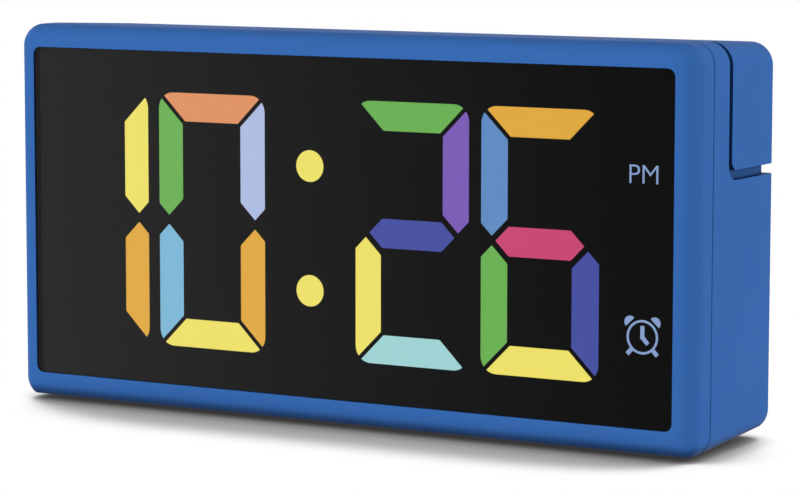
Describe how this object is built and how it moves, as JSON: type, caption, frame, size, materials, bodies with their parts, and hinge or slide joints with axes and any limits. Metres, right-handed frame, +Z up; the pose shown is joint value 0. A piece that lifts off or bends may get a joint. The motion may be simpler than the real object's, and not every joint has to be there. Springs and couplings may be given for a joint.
{
  "type": "digital alarm clock",
  "caption": "Bedside digital alarm clock: rounded case, smoked lens over a coloured seven-segment time display, wide snooze cap, rear setting buttons and backup cells.",
  "frame": {"origin": "on the table, below the middle of the case", "axes": "front of the clock faces -Y, +X to the right seen from the front, +Z up"},
  "size_m": [0.152, 0.035, 0.0771],
  "materials": {
    "case_blue": "satin moulded",
    "lens_smoke": "polished",
    "mask_black": "matt",
    "unlit_film": "matt",
    "legend_light": "lit",
    "box_white": "matt",
    "board_green": "solder mask",
    "chip_black": "moulded",
    "led_cream": "encapsulated",
    "tin_plate": "tinned",
    "screw_steel": "zinc plated",
    "key_blue": "satin moulded",
    "knob_black": "satin moulded",
    "cell_sleeve": "plain sleeve",
    "lead_red": "soft insulation",
    "ribbon_grey": "flat cable",
    "foot_rubber": "soft",
    "yellow_light": "lit",
    "amber_light": "lit",
    "green_light": "lit",
    "orange_light": "lit",
    "pale_blue_light": "lit",
    "sky_blue_light": "lit",
    "violet_light": "lit",
    "indigo_light": "lit",
    "aqua_light": "lit",
    "blue_light": "lit",
    "magenta_light": "lit"
  },
  "bodies": {
    "case": {"alarm_switch": "tin_plate", "alarm_symbol": "legend_light", "amber_segments": "amber_light", "aqua_segments": "aqua_light", "battery_cells": "cell_sleeve", "battery_contacts": "tin_plate", "battery_leads": "lead_red", "blue_segments": "blue_light", "board_headers": "box_white", "board_ribbon": "ribbon_grey", "board_screws": "screw_steel", "button_board": "board_green", "button_board_screws": "screw_steel", "button_switches": "chip_black", "buzzer": "chip_black", "case_screws": "screw_steel", "clock_chip": "chip_black", "colon_dots": "yellow_light", "display_board": "board_green", "display_lens": "lens_smoke", "driver_chips": "chip_black", "front_bezel": "case_blue", "green_segments": "green_light", "indicator_word": "legend_light", "indigo_segments": "indigo_light", "light_box": "box_white", "magenta_segments": "magenta_light", "orange_segments": "orange_light", "pale_blue_segments": "pale_blue_light", "power_socket": "knob_black", "quartz_crystal": "tin_plate", "rear_housing": "case_blue", "reservoir_capacitor": "tin_plate", "rubber_feet": "foot_rubber", "segment_leds": "led_cream", "segment_mask": "mask_black", "sky_blue_segments": "sky_blue_light", "snooze_board": "board_green", "snooze_board_screws": "screw_steel", "snooze_flex": "ribbon_grey", "snooze_switch": "chip_black", "unlit_segments": "unlit_film", "violet_segments": "violet_light", "yellow_segments": "yellow_light"},
    "snooze": {"snooze_cap": "case_blue", "cap_screws": "screw_steel", "snooze_plunger": "knob_black"},
    "time_key": {"time_button": "key_blue", "time_plunger": "knob_black"},
    "alarm_key": {"alarm_button": "key_blue", "alarm_plunger": "knob_black"},
    "hour_key": {"hour_button": "key_blue", "hour_plunger": "knob_black"},
    "minute_key": {"minute_button": "key_blue", "minute_plunger": "knob_black"},
    "alarm_slider": {"alarm_knob": "knob_black"},
    "door": {"battery_door": "case_blue"}
  },
  "joints": [
    {"name": "snooze_press", "type": "slide", "parent": "case", "child": "snooze", "axis": [0, 0, -1], "range_m": [0, 0.001], "stiffness_N_per_m": 600, "springref_m": -0.002},
    {"name": "time_press", "type": "slide", "parent": "case", "child": "time_key", "axis": [0, -1, 0], "range_m": [0, 0.0005], "stiffness_N_per_m": 600, "springref_m": -0.001},
    {"name": "alarm_press", "type": "slide", "parent": "case", "child": "alarm_key", "axis": [0, -1, 0], "range_m": [0, 0.0005], "stiffness_N_per_m": 600, "springref_m": -0.001},
    {"name": "hour_press", "type": "slide", "parent": "case", "child": "hour_key", "axis": [0, -1, 0], "range_m": [0, 0.0005], "stiffness_N_per_m": 600, "springref_m": -0.001},
    {"name": "minute_press", "type": "slide", "parent": "case", "child": "minute_key", "axis": [0, -1, 0], "range_m": [0, 0.0005], "stiffness_N_per_m": 600, "springref_m": -0.001},
    {"name": "alarm_slide", "type": "slide", "parent": "case", "child": "alarm_slider", "axis": [1, 0, 0], "range_m": [0, 0.003]},
    {"name": "battery_door_pull", "type": "slide", "parent": "case", "child": "door", "axis": [0, 1, 0], "range_m": [0, 0.025]}
  ]
}
